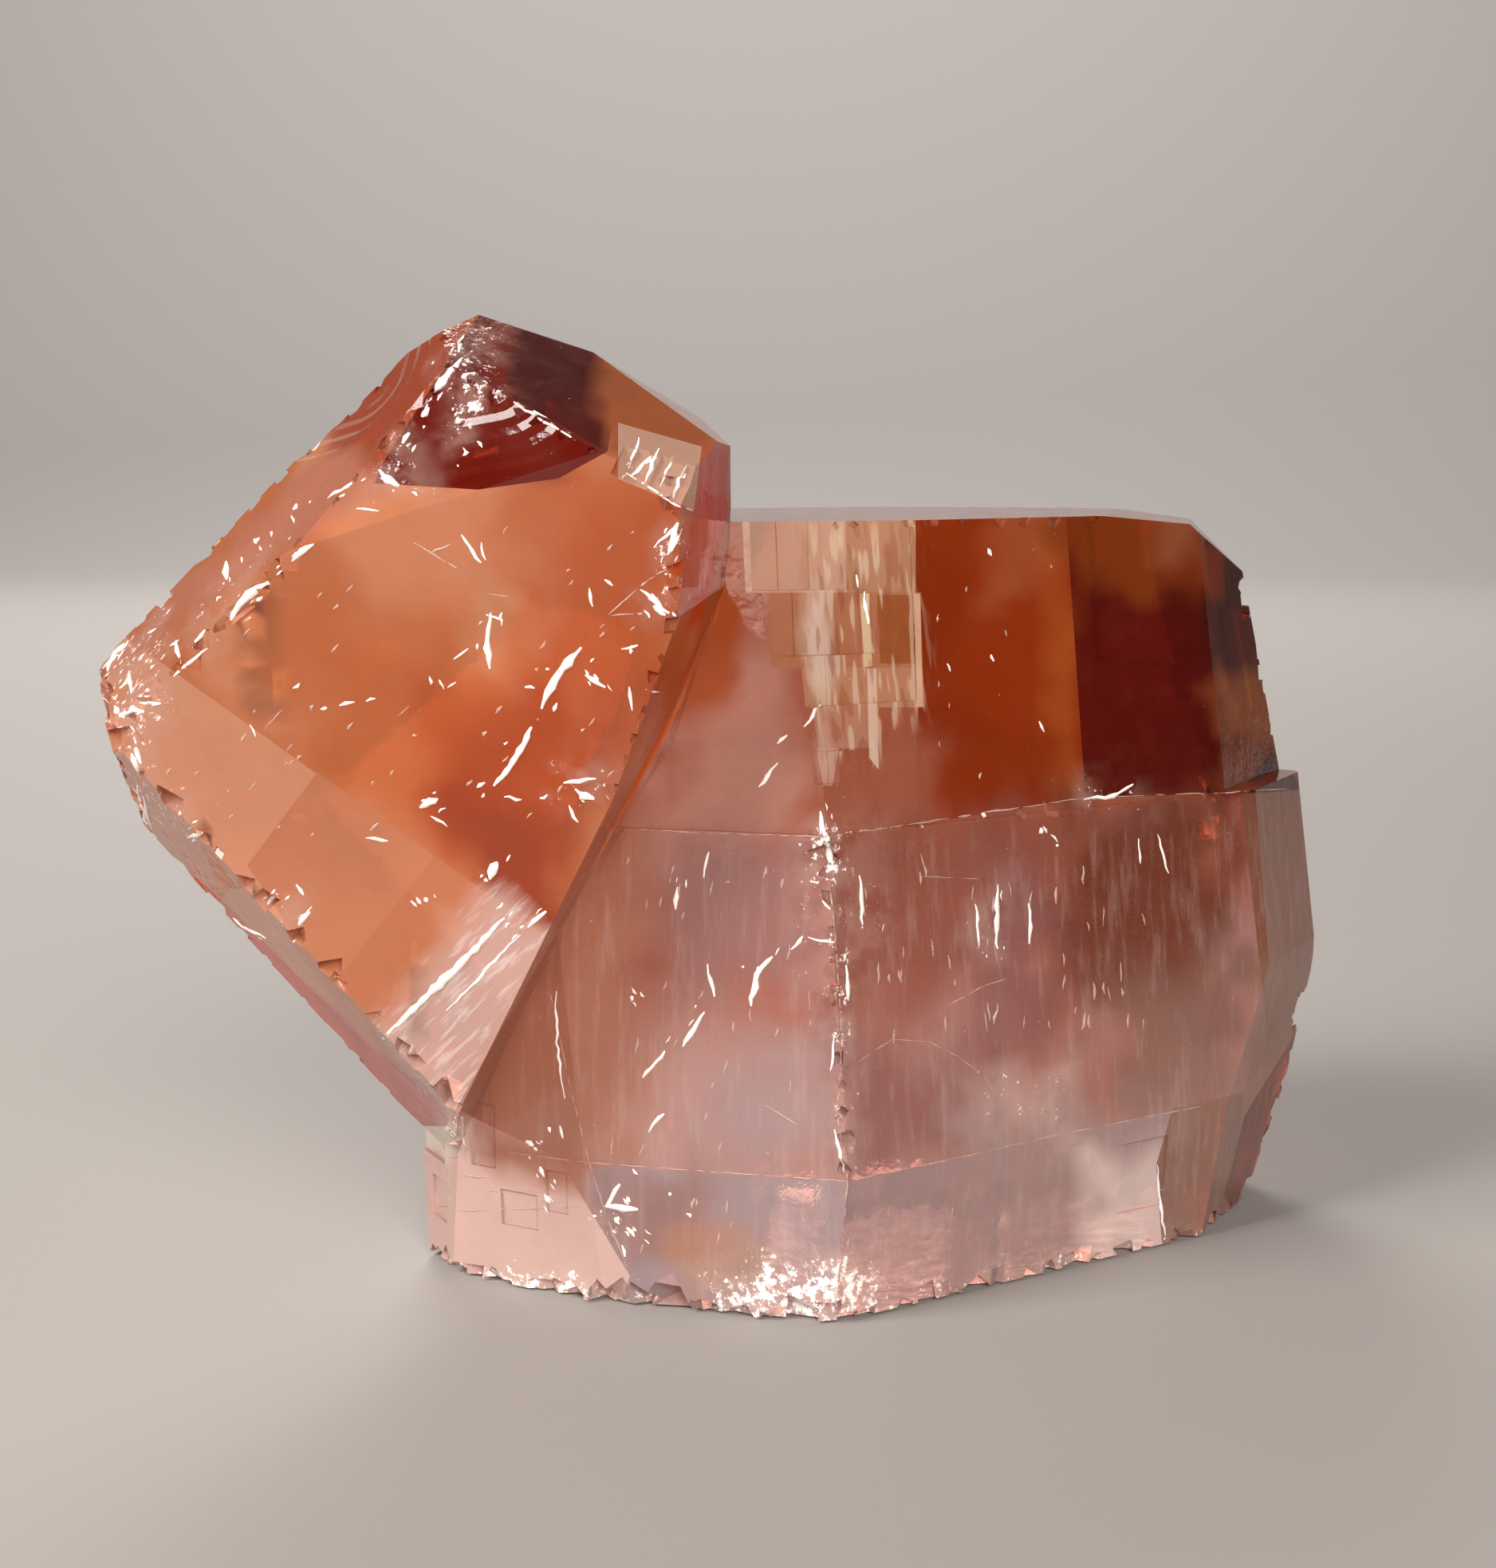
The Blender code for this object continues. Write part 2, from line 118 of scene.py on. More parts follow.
class Finish:
    """A material built up from nodes. Its patterns lie in the piece's own space, in millimetres."""

    def __init__(self, name):
        self.material = bpy.data.materials.new(name)
        self.material.use_nodes = True
        self.nodes = self.material.node_tree.nodes
        self.links = self.material.node_tree.links
        self.shader = self.nodes["Principled BSDF"]
        coordinates = self.nodes.new("ShaderNodeTexCoord")
        scaled = self.nodes.new("ShaderNodeVectorMath")
        scaled.operation = "SCALE"
        self.links.new(coordinates.outputs["Object"], scaled.inputs[0])
        scaled.inputs["Scale"].default_value = 1 / MM
        self.place = scaled.outputs[0]

    def feed(self, socket, value):
        """Gives a socket another node's output, or a plain value."""
        if isinstance(value, bpy.types.NodeSocket):
            self.links.new(value, socket)
        else:
            socket.default_value = value

    def maths(self, operation, first, second=0.0, third=0.0):
        """One step of arithmetic."""
        node = self.nodes.new("ShaderNodeMath")
        node.operation = operation
        for socket, value in zip(node.inputs, (first, second, third)):
            self.feed(socket, value)
        return node.outputs[0]

    def vector(self, operation, first, second):
        """One step of arithmetic with places."""
        node = self.nodes.new("ShaderNodeVectorMath")
        node.operation = operation
        self.feed(node.inputs[0], first)
        self.feed(node.inputs[1], second)
        return node.outputs["Value" if operation == "DOT_PRODUCT" else "Vector"]

    def times(self, first, *others):
        """The product of the values."""
        for other in others:
            first = self.maths("MULTIPLY", first, other)
        return first

    def fade(self, value, start, end):
        """0 where the value is at start, 1 where it is at end, and smooth between them."""
        node = self.nodes.new("ShaderNodeMapRange")
        node.interpolation_type = "SMOOTHSTEP"
        self.feed(node.inputs["Value"], value)
        node.inputs["From Min"].default_value = start
        node.inputs["From Max"].default_value = end
        return node.outputs["Result"]

    def height(self):
        """How high each point lies."""
        return self.vector("DOT_PRODUCT", self.place, (0.0, 0.0, 1.0))

    def kept(self, name, output="Fac"):
        """What the mesh keeps under a name."""
        node = self.nodes.new("ShaderNodeAttribute")
        node.attribute_name = name
        return node.outputs[output]

    def noise(self, size, detail=2.0, roughness=0.5, stretch=(1, 1, 1), turn=0.0, shift=0.0):
        """Cloudy noise of about that size in mm, drawn out by stretch after a turn about Y."""
        place = self.place
        if turn:
            turned = self.nodes.new("ShaderNodeVectorRotate")
            turned.rotation_type = "Y_AXIS"
            turned.inputs["Angle"].default_value = math.radians(turn)
            self.links.new(place, turned.inputs["Vector"])
            place = turned.outputs[0]
        if stretch != (1, 1, 1):
            place = self.vector("DIVIDE", place, stretch)
        if shift:
            place = self.vector("ADD", place, (shift, shift, shift))
        node = self.nodes.new("ShaderNodeTexNoise")
        self.links.new(place, node.inputs["Vector"])
        node.inputs["Scale"].default_value = 1 / size
        node.inputs["Detail"].default_value = detail
        node.inputs["Roughness"].default_value = roughness
        return node.outputs[0]

    def mix(self, share, below, above):
        """The colour below, with the given share of the colour above laid over it."""
        node = self.nodes.new("ShaderNodeMix")
        node.data_type = "RGBA"
        self.feed(node.inputs[0], share)
        self.feed(node.inputs[6], below)
        self.feed(node.inputs[7], above)
        return node.outputs[2]

    def rippled(self, ripples, strength, distance):
        """Gives the surface a shallow relief, as deep as the distance in metres."""
        bump = self.nodes.new("ShaderNodeBump")
        bump.inputs["Strength"].default_value = strength
        bump.inputs["Distance"].default_value = distance
        self.feed(bump.inputs["Height"], ripples)
        self.links.new(bump.outputs[0], self.shader.inputs["Normal"])


# The tilted crystal as seen, down to where it meets the main one.
TILTED_OUTLINE = ((60, 330), (915, 330), (912, 640), (852, 900), (748, 1082), (572, 1412),
                  (60, 1412))

# Fields of colour on the showing side, in the order that they are laid: outline in picture
# points, colour, strength, and softness of the rim in mm.
MAIN_FIELDS = (
    # Above the parting.
    (((560, 560), (1760, 560), (1760, 984), (1040, 1048), (560, 1036)),
     tone(178, 104, 80), 1.0, 0.15),
    (((860, 850), (1010, 780), (1010, 1060), (800, 1060)), tone(216, 166, 150), 0.75, 2.2),
    (((905, 560), (936, 560), (935, 760), (900, 900), (850, 900)), tone(180, 88, 40), 0.9, 0.8),
    (((1148, 560), (1331, 560), (1361, 1001), (1150, 1034)), tone(146, 48, 4), 1.0, 0.12),
    (((1250, 560), (1329, 560), (1338, 730), (1250, 740)), tone(172, 96, 56), 0.7, 2.0),
    (((1310, 700), (1343, 700), (1359, 990), (1325, 1000)), tone(184, 92, 34), 0.7, 1.0),
    (((1040, 880), (1160, 886), (1180, 1030), (1040, 1046)), tone(180, 104, 78), 0.8, 1.6),
    # Painted shade: the deep dark red window, where no light comes through the crystal from behind.
    (((1331, 560), (1505, 560), (1528, 994), (1361, 1001)), tone(84, 5, 1), 1.0, 0.10),
    (((1331, 560), (1505, 560), (1508, 740), (1345, 750)), tone(136, 60, 12), 0.9, 1.8),
    (((1450, 560), (1504, 560), (1506, 705), (1450, 700)), tone(166, 100, 64), 0.8, 0.9),
    # Darker towards the right: painted shade, as less light falls on this side.
    (((1505, 560), (1760, 560), (1760, 1000), (1528, 994)), tone(80, 10, 2), 1.0, 0.12),
    (((1508, 690), (1534, 690), (1532, 770), (1510, 770)), tone(140, 44, 2), 0.8, 0.5),
    (((1534, 680), (1566, 700), (1572, 770), (1538, 760)), tone(48, 2, 0), 0.9, 0.4),
    (((1506, 750), (1545, 750), (1550, 840), (1514, 840)), tone(48, 2, 0), 0.9, 0.6),
    (((1515, 850), (1640, 840), (1640, 930), (1525, 930)), tone(166, 96, 48), 0.85, 1.2),
    (((1530, 930), (1640, 930), (1640, 1000), (1530, 1000)), tone(120, 50, 12), 0.9, 0.5),
    (((1558, 992), (1596, 940), (1640, 996)), tone(56, 1, 0), 1.0, 0.2),
    # Between the parting and the girdle.
    (((700, 1060), (800, 1040), (800, 1460), (600, 1450), (560, 1420)),
     tone(184, 124, 98), 0.9, 2.5),
    (((860, 1060), (1036, 1056), (1050, 1240), (860, 1240)), tone(162, 122, 120), 0.8, 3.0),
    (((900, 1330), (1050, 1300), (1062, 1480), (900, 1470)), tone(174, 150, 150), 0.9, 2.5),
    (((1040, 1060), (1360, 1010), (1340, 1230), (1050, 1260)), tone(152, 90, 74), 0.9, 2.5),
    # Darker towards the right: painted shade, as less light falls on this side.
    (((1330, 1010), (1540, 996), (1540, 1280), (1330, 1280)), tone(108, 52, 32), 0.9, 3.0),
    (((1220, 1090), (1300, 1090), (1320, 1320), (1230, 1340)), tone(142, 100, 102), 0.6, 2.0),
    (((1400, 1240), (1560, 1200), (1550, 1390), (1400, 1400)), tone(140, 108, 96), 0.8, 3.0),
    (((1060, 1330), (1240, 1330), (1240, 1440), (1064, 1470)), tone(146, 96, 92), 0.8, 2.0),
    (((1210, 1350), (1340, 1340), (1320, 1410), (1230, 1420)), tone(196, 166, 160), 0.75, 1.2),
    # Below the girdle.
    (((735, 1462), (1063, 1482), (1050, 1690), (780, 1640)), tone(170, 150, 152), 1.0, 0.25),
    (((735, 1462), (900, 1472), (880, 1560), (780, 1600)), tone(160, 124, 120), 0.9, 1.4),
    (((1063, 1482), (1512, 1384), (1530, 1600), (1050, 1690)), tone(172, 148, 148), 1.0, 0.25),
    (((1200, 1400), (1400, 1400), (1400, 1640), (1200, 1640)), tone(178, 152, 148), 0.9, 2.0),
    # Painted reflection: a bright white window, light thrown back by a cleavage flake inside the
    # stone.
    (((1365, 1450), (1520, 1440), (1520, 1580), (1355, 1590)), tone(240, 220, 214), 0.95, 1.5),
    (((1450, 1460), (1470, 1390), (1560, 1370), (1540, 1560), (1458, 1575)),
     tone(150, 120, 106), 1.0, 0.15),
    (((820, 1545), (930, 1520), (960, 1620), (860, 1640)), tone(200, 142, 106), 0.5, 1.4),
    # The right end and its broken lower edge.
    # Darker towards the right: painted shade, as less light falls on this side.
    (((1556, 996), (1760, 980), (1760, 1290), (1590, 1300)), tone(136, 90, 70), 1.0, 0.4),
    (((1586, 1218), (1760, 1200), (1660, 1290), (1560, 1420)), tone(152, 116, 98), 0.8, 1.5),
    (((1640, 1270), (1700, 1300), (1560, 1540), (1535, 1500), (1560, 1400)),
     tone(110, 50, 28), 0.9, 0.4),
    # The foot.
    (((500, 1380), (590, 1400), (700, 1452), (790, 1600), (760, 1680), (480, 1640)),
     tone(230, 194, 184), 1.0, 0.2),
    (((590, 1400), (740, 1456), (720, 1500), (600, 1450)), tone(186, 120, 96), 0.9, 0.6),
    (((530, 1400), (592, 1404), (586, 1448), (530, 1448)), tone(255, 240, 224), 1.0, 0.5),
)

# The cleavage steps at the top of the front ridge, in the same form.
TIER_FIELDS = (
    (((930, 640), (1148, 640), (1148, 743), (935, 743)), tone(226, 186, 160), 0.95, 0.07),
    (((1060, 640), (1148, 640), (1148, 743), (1062, 743)), tone(196, 146, 110), 0.8, 0.3),
    (((957, 743), (1154, 743), (1157, 837), (967, 837)), tone(200, 138, 102), 0.9, 0.07),
    (((1100, 746), (1146, 746), (1148, 832), (1104, 832)), tone(172, 98, 52), 0.9, 0.12),
    (((1005, 837), (1157, 837), (1159, 887), (1010, 887)), tone(208, 156, 122), 0.9, 0.07),
    (((1018, 887), (1102, 887), (1100, 938), (1026, 938)), tone(210, 158, 130), 0.85, 0.10),
    (((1024, 938), (1052, 938), (1044, 985), (1032, 985)), tone(226, 186, 164), 0.7, 0.15),
    (((1008, 738), (1038, 738), (1036, 880), (1014, 880)), tone(252, 232, 214), 0.9, 0.6),
    (((1018, 870), (1042, 870), (1038, 960), (1030, 960)), tone(240, 208, 188), 0.8, 0.5),
    (((1146, 744), (1154, 744), (1157, 886), (1150, 886)), tone(246, 208, 172), 0.9, 0.06),
    (((1087, 838), (1099, 838), (1102, 965), (1090, 950)), tone(250, 224, 200), 0.9, 0.10),
    # Painted glint: a yellow-white highlight running down a step.
    (((1078, 744), (1090, 744), (1094, 836), (1084, 836)), tone(255, 232, 190), 0.9, 0.10),
)
# Where fine upright columns show on the steps: the outline, and the softness of its rim in mm.
COLUMNS = (((1010, 660), (1150, 660), (1158, 890), (1100, 950), (1040, 985), (1026, 940),
            (1008, 840)), 0.9)

# The fields of the tilted crystal, in the same form.
TILTED_FIELDS = (
    # Right and low parts of the front face grow redder.
    (((330, 800), (640, 740), (740, 1000), (700, 1185), (398, 968)), tone(204, 106, 48), 0.85, 3.0),
    (((680, 560), (900, 560), (880, 900), (640, 900)), tone(196, 86, 26), 0.85, 3.5),
    (((540, 900), (830, 860), (740, 1090), (690, 1160), (540, 1060)), tone(180, 72, 22), 0.9, 3.0),
    (((560, 1000), (700, 1040), (712, 1185), (640, 1150)), tone(152, 56, 26), 0.85, 1.6),
    (((590, 730), (640, 740), (630, 850), (596, 840)), tone(232, 168, 128), 0.6, 1.4),
    (((690, 600), (860, 600), (800, 640), (680, 640)), tone(214, 120, 76), 0.5, 2.0),
    # Below the line across it, in bands, lighter: a painted reflection of light off a crack inside
    # the crystal.
    (((40, 715), (215, 840), (700, 1185), (560, 1450), (40, 1450)), tone(230, 160, 124), 1.0, 0.08),
    (((398, 968), (700, 1185), (560, 1450), (310, 1085)), tone(212, 134, 96), 0.9, 0.12),
    (((460, 1012), (700, 1185), (560, 1450), (350, 1160)), tone(212, 136, 98), 0.7, 0.2),
    (((545, 1073), (700, 1185), (560, 1450), (425, 1225)), tone(204, 124, 86), 0.7, 0.2),
    (((600, 1112), (700, 1185), (560, 1450), (470, 1280)), tone(222, 164, 142), 0.9, 0.6),
    (((626, 1134), (706, 1188), (570, 1440), (484, 1300)), tone(216, 178, 168), 0.85, 0.8),
    # The strip along the line where the crystals meet.
    (((880, 560), (925, 560), (922, 640), (872, 870), (858, 700)), tone(212, 40, 0), 1.0, 0.5),
    (((858, 800), (900, 780), (872, 900), (768, 1082), (720, 1200), (690, 1170), (790, 990)),
     tone(236, 102, 24), 0.95, 0.5),
    # The cap and the narrow facet beside it.
    (((120, 850), (590, 380), (560, 540), (480, 606), (210, 800)), tone(206, 134, 108), 0.9, 0.6),
    (((430, 470), (590, 380), (570, 520), (480, 606), (420, 560)), tone(170, 72, 38), 0.9, 1.0),
    (((600, 395), (545, 480), (480, 580), (470, 606), (600, 614), (700, 600), (762, 566),
      (770, 500)), tone(110, 18, 4), 1.0, 0.25),
    (((600, 470), (660, 480), (690, 570), (590, 580)), tone(116, 40, 30), 0.7, 1.6),
    (((600, 395), (645, 500), (762, 566), (785, 440)), tone(76, 4, 0), 1.0, 0.15),
    (((598, 380), (636, 380), (642, 500), (606, 480)), tone(130, 30, 0), 1.0, 0.5),
    (((752, 430), (905, 520), (905, 560), (756, 580)), tone(176, 98, 56), 1.0, 0.6),
    (((775, 530), (880, 560), (870, 640), (775, 600)), tone(224, 186, 162), 0.9, 0.3),
    # The dark underside.
    (((180, 1040), (290, 1140), (400, 1250), (540, 1400), (560, 1450), (300, 1450), (60, 1200)),
     tone(236, 66, 2), 0.95, 0.25),
    (((400, 1255), (460, 1300), (560, 1395), (540, 1450)), tone(204, 40, 0), 0.9, 0.6),
)
# The fibrous low corner of the tilted crystal: the outline, and the softness of its rim in mm.
FIBROUS = (((618, 1122), (706, 1186), (574, 1440), (470, 1296)), 0.8)

# Crushed places: the outline of each, and how white it is. Their white is partly crushed calcite
# and partly painted glints.
CRUSHED = (
    (((1018, 1030), (1062, 1030), (1066, 1110), (1022, 1110)), 1.0),
    (((1024, 1030), (1054, 1030), (1076, 1480), (1046, 1480)), 0.7),
    (((980, 1020), (1110, 1020), (1120, 1220), (1000, 1240)), 0.4),
    (((530, 1552), (600, 1572), (672, 1590), (787, 1600), (883, 1606), (1060, 1620),
      (540, 1700)), 1.2),
    (((530, 1552), (680, 1592), (883, 1606), (883, 1700), (530, 1700)), 1.2),
    (((1060, 1625), (1300, 1578), (1510, 1530), (1530, 1600), (1060, 1700)), 0.8),
    (((880, 1600), (1000, 1570), (1100, 1600), (1100, 1690), (880, 1690)), 1.2),
    (((745, 1480), (800, 1480), (800, 1560), (750, 1560)), 0.6),
    (((548, 460), (620, 400), (640, 520), (560, 560)), 0.9),
    (((470, 575), (540, 550), (540, 615), (450, 625)), 0.7),
    (((200, 790), (300, 690), (350, 680), (330, 750), (250, 830)), 0.5),
    (((110, 880), (130, 780), (215, 760), (225, 830), (180, 1040)), 0.7),
    (((160, 960), (240, 1000), (230, 1060), (170, 1040)), 0.7),
    (((330, 1110), (400, 1100), (400, 1170), (330, 1170)), 0.6),
    (((820, 700), (860, 640), (850, 780), (780, 790)), 0.7),
    (((690, 960), (770, 950), (760, 1010), (700, 1010)), 0.7),
    (((1360, 985), (1430, 985), (1430, 1008), (1360, 1012)), 0.9),
    (((1210, 1120), (1260, 1100), (1262, 1200), (1220, 1200)), 0.6),
    (((1215, 1340), (1340, 1340), (1330, 1410), (1240, 1420)), 0.5),
)
# How white the small broken faces are, partly as painted glints.
UNEVEN_BREAK = 0.25

# White cracks and raised slivers: the picture points of each line, and its width in points. Many of
# the slivers are painted glints: near-white ribs that stand in for highlights on small broken
# steps.
CRACKS_AND_GLINTS = (
    (((728, 812), (706, 838), (688, 868), (678, 888)), 15),
    (((667, 910), (653, 940), (634, 967), (619, 985)), 11),
    (((624, 1080), (614, 1102)), 14),
    (((338, 731), (318, 742), (300, 756), (289, 778)), 17),
    (((282, 704), (286, 726)), 14),
    (((322, 674), (324, 680)), 11),
    (((370, 633), (372, 638)), 10),
    (((392, 682), (365, 702)), 9),
    (((448, 637), (474, 641)), 6),
    (((412, 624), (426, 614), (442, 605)), 9),
    (((476, 590), (486, 600), (500, 611)), 12),
    (((505, 556), (512, 544)), 12),
    (((530, 524), (537, 511)), 9),
    (((546, 492), (560, 474), (576, 452)), 13),
    (((574, 440), (580, 430)), 9),
    (((583, 567), (586, 571)), 12),
    (((527, 1012), (538, 1006), (549, 1000)), 10),
    (((349, 1120), (336, 1133)), 9),
    (((388, 1144), (368, 1166)), 9),
    (((372, 1110), (380, 1122)), 7),
    (((236, 1051), (254, 1043)), 9),
    (((292, 1150), (310, 1166), (332, 1176)), 12),
    (((172, 985), (178, 1010), (186, 1043)), 9),
    (((166, 944), (173, 970)), 8),
    (((134, 842), (144, 820), (162, 805)), 13),
    (((150, 897), (166, 890), (180, 891)), 11),
    (((220, 805), (226, 831)), 8),
    (((152, 862), (160, 850)), 9),
    (((820, 759), (826, 766), (834, 772)), 14),
    (((720, 990), (732, 998), (744, 1003)), 11),
    (((744, 846), (750, 856)), 9),
    (((790, 812), (791, 820)), 7),
    (((1030, 1022), (1036, 1052), (1044, 1090)), 11),
    (((802, 550), (796, 566), (788, 586)), 5),
    (((826, 562), (819, 580), (810, 604)), 6),
    (((842, 574), (836, 592), (829, 610)), 5),
    (((860, 582), (852, 602), (844, 626)), 6),
    (((784, 594), (812, 610), (846, 632), (870, 640)), 5),
    (((1030, 1130), (1042, 1140)), 8),
    (((1014, 1176), (1046, 1182)), 6),
    (((1046, 1302), (1042, 1342)), 5),
    (((614, 770), (611, 805), (614, 838)), 10),
    (((540, 853), (542, 856)), 9),
    (((534, 1126), (537, 1130)), 13),
    (((684, 1142), (662, 1162)), 10),
    (((240, 812), (258, 790)), 7),
    (((632, 1150), (564, 1222), (480, 1302)), 12),
    (((652, 1172), (560, 1268)), 5),
    (((850, 655), (838, 690)), 9),
    (((803, 738), (838, 770)), 8),
    (((645, 505), (722, 552)), 5),
    (((697, 1242), (698, 1306), (708, 1376)), 6),
    (((886, 1210), (895, 1249)), 7),
    (((883, 1268), (855, 1312)), 9),
    (((835, 1319), (805, 1352)), 7),
    (((969, 1198), (950, 1220), (941, 1261)), 12),
    (((1008, 1175), (992, 1191)), 6),
    (((960, 1386), (1009, 1416)), 4),
    (((832, 1395), (813, 1418)), 7),
    (((1046, 1415), (1059, 1469)), 6),
    (((848, 1112), (848, 1140)), 9),
    (((888, 1067), (883, 1099)), 6),
    (((791, 1250), (794, 1254)), 9),
    (((1250, 1108), (1250, 1191)), 9),
    (((1224, 1134), (1227, 1185)), 7),
    (((1291, 1134), (1292, 1182)), 7),
    (((1428, 1051), (1430, 1083)), 5),
    (((1451, 1045), (1465, 1096)), 5),
    (((1304, 1038), (1309, 1044)), 12),
    (((1157, 1099), (1228, 1102)), 3),
    (((1014, 1242), (1017, 1287)), 4),
    (((1078, 1096), (1081, 1160)), 7),
    (((1062, 1210), (1065, 1255)), 8),
    (((1075, 1332), (1119, 1303), (1164, 1306), (1202, 1325), (1234, 1348), (1253, 1383)), 3),
    (((1189, 1261), (1234, 1236), (1266, 1226)), 3),
    (((1451, 1459), (1460, 1548)), 6),
    (((1304, 1568), (1307, 1593)), 4),
    (((560, 1476), (564, 1453), (581, 1449), (589, 1437)), 4),
    (((562, 1476), (564, 1512), (549, 1512), (543, 1478)), 4),
    (((570, 1472), (642, 1480)), 3),
    (((614, 1493), (704, 1495)), 4),
    (((566, 1518), (727, 1514)), 3),
    (((598, 1447), (601, 1470)), 4),
    (((579, 1403), (583, 1437)), 7),
    (((660, 1430), (670, 1438)), 12),
    (((686, 1414), (690, 1419)), 8),
    (((701, 1412), (706, 1426)), 8),
    (((677, 1462), (682, 1476)), 9),
    (((683, 1498), (690, 1508)), 10),
    (((776, 1484), (762, 1512), (800, 1516)), 12),
    (((770, 1528), (776, 1535)), 10),
    (((786, 1540), (797, 1550)), 9),
    (((780, 1562), (785, 1576)), 8),
    (((838, 1495), (842, 1499)), 6),
    (((862, 1521), (867, 1525)), 6),
    (((1028, 883), (1008, 911)), 7),
    (((987, 921), (974, 934)), 6),
    (((974, 957), (951, 988)), 7),
    (((1074, 722), (1075, 738)), 6),
    (((1084, 743), (1088, 784)), 7),
    (((1240, 688), (1242, 696)), 7),
    (((1242, 820), (1246, 828)), 7),
    (((1189, 833), (1193, 841)), 6),
    (((1304, 905), (1309, 918)), 6),
    (((1028, 1018), (1030, 1044)), 7),
    (((1360, 1003), (1395, 998), (1421, 984)), 7),
    (((1230, 1019), (1236, 1023)), 8),
    (((1036, 1048), (1120, 1037), (1230, 1020), (1362, 1000)), 4),
    (((1362, 1000), (1450, 997), (1530, 994), (1620, 989)), 3),
    (((800, 1040), (900, 1045), (1030, 1049)), 3),
    (((690, 1245), (712, 1350), (738, 1456), (762, 1530), (790, 1598)), 3),
    (((1040, 1100), (1048, 1180), (1056, 1300), (1050, 1400), (1063, 1480)), 4),
    (((1063, 1480), (1056, 1570), (1046, 1650)), 4),
    (((640, 1445), (740, 1458), (900, 1470), (1063, 1481)), 3),
    (((1063, 1481), (1200, 1452), (1340, 1420), (1505, 1387)), 3),
    # Webs and rows of flecks in the tilted crystal.
    (((538, 694), (565, 683)), 4),
    (((519, 680), (573, 713)), 4),
    (((578, 670), (603, 707)), 6),
    (((603, 680), (608, 702)), 5),
    (((611, 745), (638, 748)), 4),
    (((611, 772), (632, 777)), 6),
    (((570, 826), (587, 812)), 6),
    (((562, 861), (572, 855)), 5),
    (((425, 885), (444, 880)), 6),
    (((401, 891), (411, 886)), 6),
    (((460, 879), (471, 876)), 5),
    (((331, 915), (358, 885)), 4),
    (((314, 909), (320, 923)), 5),
    (((368, 864), (376, 856)), 5),
    (((498, 899), (514, 885)), 4),
    (((740, 737), (743, 761)), 5),
    (((759, 726), (770, 734)), 6),
    (((762, 772), (810, 729), (843, 710)), 4),
    (((767, 772), (805, 769)), 4),
    (((821, 686), (856, 653)), 5),
    (((837, 697), (856, 664)), 6),
    (((735, 847), (759, 861)), 8),
    (((778, 815), (800, 810)), 5),
    (((659, 861), (670, 864)), 8),
    (((789, 861), (794, 890)), 5),
    (((810, 864), (827, 869)), 5),
    (((708, 982), (746, 977)), 8),
    (((713, 1009), (724, 1031)), 5),
    (((541, 1023), (562, 1036)), 5),
    (((632, 998), (654, 1004)), 6),
    (((678, 1001), (686, 998)), 7),
    (((597, 988), (608, 980)), 6),
    (((460, 1050), (487, 1055)), 5),
    (((791, 597), (816, 573)), 9),
    (((853, 600), (861, 594)), 7),
    # Glints at its left tip and along its lower left rim.
    (((155, 806), (130, 838)), 9),
    (((212, 810), (225, 802)), 8),
    (((217, 848), (260, 812)), 6),
    (((161, 842), (166, 869)), 8),
    (((142, 885), (158, 901)), 9),
    (((174, 880), (201, 883)), 7),
    (((185, 794), (196, 788)), 6),
    (((168, 923), (178, 965)), 7),
    (((180, 1000), (191, 1040)), 7),
    (((222, 731), (246, 706)), 5),
    (((262, 690), (288, 664)), 5),
)
# Small flecks scattered over parts of the picture: left, top, right and bottom of the part, how
# many there are, how long the longest is, and how far they lean across for each point down.
FLECKS = (
    ((1060, 1070, 1480, 1300), 45, 26, 0.05),
    ((760, 1070, 1020, 1440), 26, 20, -0.2),
    ((260, 660, 800, 1040), 34, 14, -0.9),
    ((800, 1490, 1300, 1590), 14, 16, 0.0),
    ((1160, 680, 1320, 980), 9, 10, 0.0),
    ((180, 880, 480, 1060), 14, 12, -0.9),
)
# The narrowest and the widest fleck, in picture points.
FLECK_WIDTHS = (2.5, 6.0)

# How closely the cracks follow the surface, in picture points, and the share of their height
# that stands out of it.
SLIVER_STEP = 9
SLIVER_RISE = 0.45
# Cracks up to the first width are fine ones, and those over the second have splinters beside them.
FINE_WIDTH = 4
WIDE_WIDTH = 8
SPLINTERS = 3
# How far splinters lie from a crack and how wide they are, as shares of its width, and how long
# they are in picture points.
SPLINTER_SPREAD = 1.6
SPLINTER_WIDTHS = (0.25, 0.5)
SPLINTER_LENGTHS = (4, 12)
# How far a crack strays, as a share of its width, and the width beyond which it strays no further.
STRAY_SHARE = 0.25
WIDEST_STRAY = 6
# A rib's radius as a share of its width, and how thin it is at its ends and swells at its middle.
RIB_SHARE = 0.45
RIB_TAPER = (0.3, 0.7)
# The shortest and longest dash and gap of a fine crack, and the shortest dash that is drawn.
DASHES = (10, 55)
GAPS = (2, 14)
SHORTEST_DASH = 4


def picture_point(place):
    """Where a place, in mm, is seen in the picture."""
    reach = place - EYE
    ahead = reach.y * math.cos(LOOK_DOWN) - reach.z * math.sin(LOOK_DOWN)
    rise = reach.y * math.sin(LOOK_DOWN) + reach.z * math.cos(LOOK_DOWN)
    return (PHOTO_WIDE / 2 + FOCAL_POINTS * reach.x / ahead,
            PHOTO_HIGH / 2 - FOCAL_POINTS * rise / ahead)


def clockwise(outline):
    """The sides of an outline, walked so that its inside is on the right of each."""
    corners = list(outline)
    sides = list(zip(corners, corners[1:] + corners[:1]))
    if sum(start[0] * end[1] - end[0] * start[1] for start, end in sides) < 0:
        sides = [(end, start) for start, end in sides]
    return sides


def sight_plane(start, end):
    """The direction to the right of the plane through the eye and two picture points."""
    return sight(start).cross(sight(end)).normalized()


